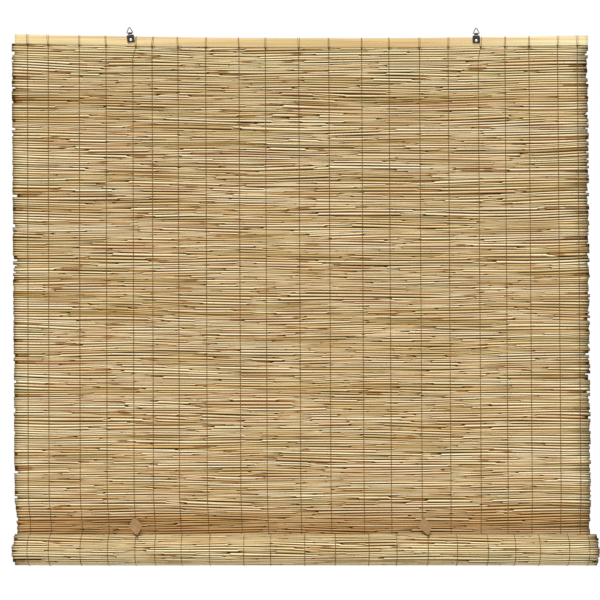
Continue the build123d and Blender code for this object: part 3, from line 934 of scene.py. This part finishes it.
def makeStrap(side):
    # the sheet's middle line goes up the back ply, round the barrel and down the front ply, and the width
    # follows the height: a neck, a shoulder and a body with round corners
    bar, across, up, out = hangerFrame(side)
    ply = hanger["sheet"] / 2
    corner, foot, barrel = hanger["corner"], hanger["foot"], hanger["barrel"]
    shoulder, neck = hanger["shoulder"], hanger["neck"]
    meet = np.arccos(ply / barrel)
    heights = np.concatenate([
        foot + corner * (1 - np.cos(np.linspace(0, np.pi / 2, 5))),
        np.linspace(foot + 0.003, shoulder, 7),
        np.linspace(shoulder + 0.0005, neck, 5),
        [-0.0022],
    ])
    bend = np.linspace(-meet, np.pi + meet, 19)
    swell = hanger["swell"] * np.exp(-((heights - shoulder) / 0.0012) ** 2)
    outs = np.concatenate([np.full(len(heights), -ply), -barrel * np.cos(bend), (ply + swell)[::-1]])
    ups = np.concatenate([heights, barrel * np.sin(bend), heights[::-1]])
    narrow = smooth(shoulder - 0.0004, neck + 0.0002, heights)
    wide, slim = hanger["halfWidth"], hanger["halfNeck"]
    half = wide + (slim - wide) * narrow
    down = np.clip(1 - (heights - foot) / corner, 0, 1)
    half = half - corner * (1 - np.sqrt(1 - down**2))
    half = np.concatenate([half, np.full(len(bend), slim), half[::-1]])
    line = np.stack([outs, ups], axis=1)
    ahead = unit(np.gradient(line, axis=0))
    normal = np.stack([-ahead[:, 1], ahead[:, 0]], axis=1)  # away from the inside of the fold
    column = np.array([-1, -0.97, -0.6, -0.2, 0.2, 0.6, 0.97, 1])
    lift = np.where(np.abs(column) == 1, 0.4, 1.0) * ply
    section = np.concatenate([np.stack([column, lift], 1), np.stack([column[::-1], -lift[::-1]], 1)])
    plane = line[:, None, :] + normal[:, None, :] * section[None, :, 1:]
    width = half[:, None] * section[None, :, 0]
    points = bar + plane[..., :1] * out + plane[..., 1:] * up + width[..., None] * across
    # a painted highlight across the middle of the front ply's neck and shoulder
    highlightAt, reach = hanger["worn"]
    worn = np.exp(-((plane[..., 1] - highlightAt) / reach) ** 2)
    worn = worn * (plane[..., 0] > 0) * (np.abs(section[:, 0]) < 0.7)
    makePiece("strap" + side.capitalize(), points, ringFaces(len(line), len(section)),
              strapMaterial, "blind", ["hanger_strap_" + side], {"worn": worn.reshape(-1)},
              crease=0.7)


def makeRing(side):
    # a triangle of wire with round corners: three arcs joined by straight runs
    bar, across, up, out = hangerFrame(side)
    half, corner, top = ring["base"] / 2, ring["corner"], ring["apex"]
    footTurn = np.pi - np.arctan2(ring["height"], half)
    apexTurn = 2 * np.pi - 2 * footTurn
    share = np.linspace(0, 1, ring["steps"])
    footX = half - corner * np.tan(footTurn / 2)
    apexY = ring["height"] - top / np.cos(apexTurn / 2)
    turn = -np.pi / 2 + footTurn * share
    rightFoot = np.stack([footX + corner * np.cos(turn), corner * (1 + np.sin(turn))], axis=1)
    turn = np.pi / 2 + apexTurn * (share - 0.5)
    apex = np.stack([top * np.cos(turn), apexY + top * np.sin(turn)], axis=1)
    leftFoot = rightFoot[::-1] * (-1, 1)
    flat = np.concatenate([[(0, 0)], rightFoot, apex, leftFoot])
    bundle = Bundle()
    bundle.addTube(bar + flat[:, :1] * across + flat[:, 1:] * up, ring["wire"], 12, out, closed=True)
    bundle.make("ring" + side.capitalize(), ["hanger_ring_" + side], wireMaterial, side + "_ring")


def makeScrew(side):
    # circles about the screw's axis: a domed head pressed in by the cross recess, its rim, and the shank
    bar, across, up, out = hangerFrame(side)
    face = bar + up * hanger["screw"] + out * hanger["sheet"]
    head, height, faceRings = screw["head"], screw["height"], screw["faceRings"]
    radius = head * np.concatenate([[0.02], np.linspace(0.06, 0.92, faceRings - 1), [0.97, 1.0, 1.0]])
    rise = height * np.concatenate([1 - 0.3 * (radius[:faceRings] / head) ** 3, [0.6, 0.42, 0.0]])
    radius = np.concatenate([radius, [screw["shank"], screw["shank"], 0.0002]])
    rise = np.concatenate([rise, [0.0, 0.001 - screw["shankLength"], -screw["shankLength"]]])
    angle = np.linspace(0, 2 * np.pi, 64, endpoint=False)
    x, y = radius[:, None] * np.cos(angle), radius[:, None] * np.sin(angle)

    def within(limit, values):  # 1 up to the limit on both sides, 0 past it
        return 1 - smooth(limit - 0.0001, limit + 0.0001, np.abs(values))

    wide, long = screw["recess"]
    cross = np.maximum(within(wide, x) * within(long, y), within(wide, y) * within(long, x))
    cross = cross * (np.arange(len(radius)) < faceRings)[:, None]
    lift = rise[:, None] - screw["recessDepth"] * cross
    turn = screw["turned"][side]
    sideways, upright = across * np.cos(turn) + up * np.sin(turn), up * np.cos(turn) - across * np.sin(turn)
    points = face + x[..., None] * sideways + y[..., None] * upright + lift[..., None] * out
    makePiece("screw" + side.capitalize(), points, ringFaces(len(radius), len(angle)),
              screwMaterial, "blind", ["hanger_screw_" + side], crease=0.7)


print("stage: hangers")
for side in sides:
    makeStrap(side)
    makeRing(side)
    makeScrew(side)


# Tabs: leather leaves with a cord at each tip
tab = {
    "halfWidth": 0.0145,
    "shoulder": 0.028,
    "length": 0.055,
    "tipRound": 0.0028,
    "sideRound": 0.008,
    "hole": 0.0011,
    "halfThickness": 0.0008,
    "bevel": 0.0006,
}
cord = {
    "radius": 0.0006,
    "topLoop": 0.0026,
    "lowLoop": 0.002017,
    "coil": (0.0008, 0.0021, 2.5),
    "strand": 0.0005,
    "tails": (-22, 22),
    "tailLength": 0.0072,
    "tailRadius": 0.00045,
    "tailBow": -0.0012,
}


def tabFrame(side):  # the upper hole, and the directions across, along and out of the CAD leaf
    mesh = nodes["roll_tab_" + side].data
    points = np.array([vertex.co for vertex in mesh.vertices])
    middle = points.mean(axis=0)
    along, across, out = np.linalg.svd(points - middle, full_matrices=False)[2]
    along, out = along * np.sign(along[2]), out * -np.sign(out[1])
    across = np.cross(along, out)
    far = [(points - middle) @ axis for axis in (across, along, out)]
    centre = middle + across * (far[0].max() + far[0].min()) / 2 + out * (far[2].max() + far[2].min()) / 2
    return centre + along * (far[1].max() - tab["tipRound"]), across, along, out


def leafHalfWidth(y):
    # two straight sides that meet in a round of one radius, and a smaller round about each hole
    tip, side, half = tab["tipRound"], tab["sideRound"], tab["halfWidth"]
    span = tab["length"] - 2 * tip
    waist = tip - tab["shoulder"]
    lean = np.arctan2(half, [tab["shoulder"], tab["length"] - tab["shoulder"]])
    outward = np.stack([np.cos(lean), np.sin(lean) * (1, -1)], axis=1)
    high, low = tip / np.sin(lean[0]), -span - tip / np.sin(lean[1])
    middle = np.array([half, waist]) - side * np.linalg.solve(outward, np.ones(2))

    def bulge(radius, across, along):  # half the width of a circle about that middle
        return across + np.sqrt(np.maximum(radius**2 - (y - along) ** 2, 0))

    width = np.where(y > waist, (high - y) * half / (high - waist), (y - low) * half / (waist - low))
    turned = (y < middle[1] + side * np.sin(lean[0])) & (y > middle[1] - side * np.sin(lean[1]))
    width = np.where(turned, bulge(side, *middle), width)
    width = np.where(y > tip * np.sin(lean[0]), bulge(tip, 0, 0), width)
    return np.where(y < -span - tip * np.sin(lean[1]), bulge(tip, 0, -span), width)


def makeTab(side):
    # each half of the leaf runs from its middle line, or the edge of a hole, out to its side, front and back
    origin, across, along, out = tabFrame(side)
    tip, hole, thick = tab["tipRound"], tab["hole"], tab["halfThickness"]
    span = tab["length"] - 2 * tip
    arc = hole * np.cos(np.linspace(0, np.pi, 13))
    end = np.concatenate([tip * np.cos(np.linspace(0, 1.1, 6)), arc, [-0.0016, -0.0022]])
    y = np.concatenate([end, np.linspace(-0.003, 0.003 - span, 34), -span - end[::-1]])
    nearest = np.where(y > -span / 2, y, y + span)
    inner = np.sqrt(np.maximum(hole**2 - nearest**2, 0))
    width = leafHalfWidth(y)
    share = np.array([0, 0.25, 0.5, 0.75, 0.9, 0.96, 1.0])
    x = inner[:, None] + (width - inner)[:, None] * share
    edge = np.clip((width[:, None] - x) / tab["bevel"], 0, 1)
    lift = thick * (0.45 + 0.55 * np.sqrt(1 - (1 - edge) ** 2))
    x, rim = (np.concatenate([half, half[:, ::-1]], axis=1) for half in (x, 1 - edge))
    lift = np.concatenate([lift, -lift[:, ::-1]], axis=1)
    halves, faces = [], []
    for sign in (-1, 1):
        half = origin + (sign * x)[..., None] * across
        half = half + y[:, None, None] * along + lift[..., None] * out
        halves.append(half.reshape(-1, 3))
        quads = np.array(ringFaces(len(y), x.shape[1])[:-2]) + (0 if sign < 0 else x.size)
        onMiddle = np.tile(x.reshape(-1), 2)[quads].max(axis=1) < 1e-7
        faces += quads[~onMiddle].tolist()
    piece = makePiece("tab" + side.capitalize(), np.concatenate(halves), faces, tabMaterial, "blind",
                      ["roll_tab_" + side], {"rim": np.tile(rim.reshape(-1), 2)}, crease=0.7)
    straighten(piece.data, 1e-7)


def makeCords(side):
    origin, across, along, out = tabFrame(side)
    span = tab["length"] - 2 * tab["tipRound"]
    angle = np.linspace(0, 2 * np.pi, 24, endpoint=False)[:, None]
    circle = out * np.cos(angle) + along * np.sin(angle)
    top = Bundle()
    loop = origin + along * cord["topLoop"] + circle * cord["topLoop"]
    top.addTube(loop, cord["radius"], 8, across, closed=True, soiled=0.5)
    top.make("topCord" + side.capitalize(), ["tab_top_cord_" + side])
    low = Bundle()
    middle = origin - along * (span + cord["lowLoop"])
    low.addTube(middle + circle * cord["lowLoop"], cord["radius"], 8, across, closed=True)
    knot = middle - along * (cord["lowLoop"] + cord["radius"])
    low.addTube(coil(knot, across, out, along, *cord["coil"]), cord["strand"], 6, across, soiled=0.6)
    share = np.linspace(0, 1, 7)[:, None]
    taper = cord["tailRadius"] * (1 - share[:, 0] * 0.25)
    for lean in np.radians(cord["tails"]):
        run = across * np.sin(lean) - along * np.cos(lean)
        bow = across * np.sin(lean) * cord["tailBow"] * share**2
        low.addTube(knot + run * share * cord["tailLength"] + bow, taper, 6, out, soiled=0.5)
    low.make("lowCord" + side.capitalize(), ["tab_low_cord_" + side])


print("stage: tabs")
for side in sides:
    makeTab(side)
    makeCords(side)


# The batten in the roll's core keeps its CAD shape
nodes["bottom_batten"].material_slots[0].material = slatMaterial


def makeFloor():
    half, near, far, low = studio["floor"]
    corners = [(-half, near, low), (half, near, low), (half, far, low), (-half, far, low)]
    mesh = bpy.data.meshes.new("floor")
    mesh.from_pydata(corners, [], [(0, 1, 2, 3)])
    mesh.materials.append(floorLook())
    floor = bpy.data.objects.new("floor", mesh)
    bpy.context.scene.collection.objects.link(floor)


print("stage: floor")
makeFloor()
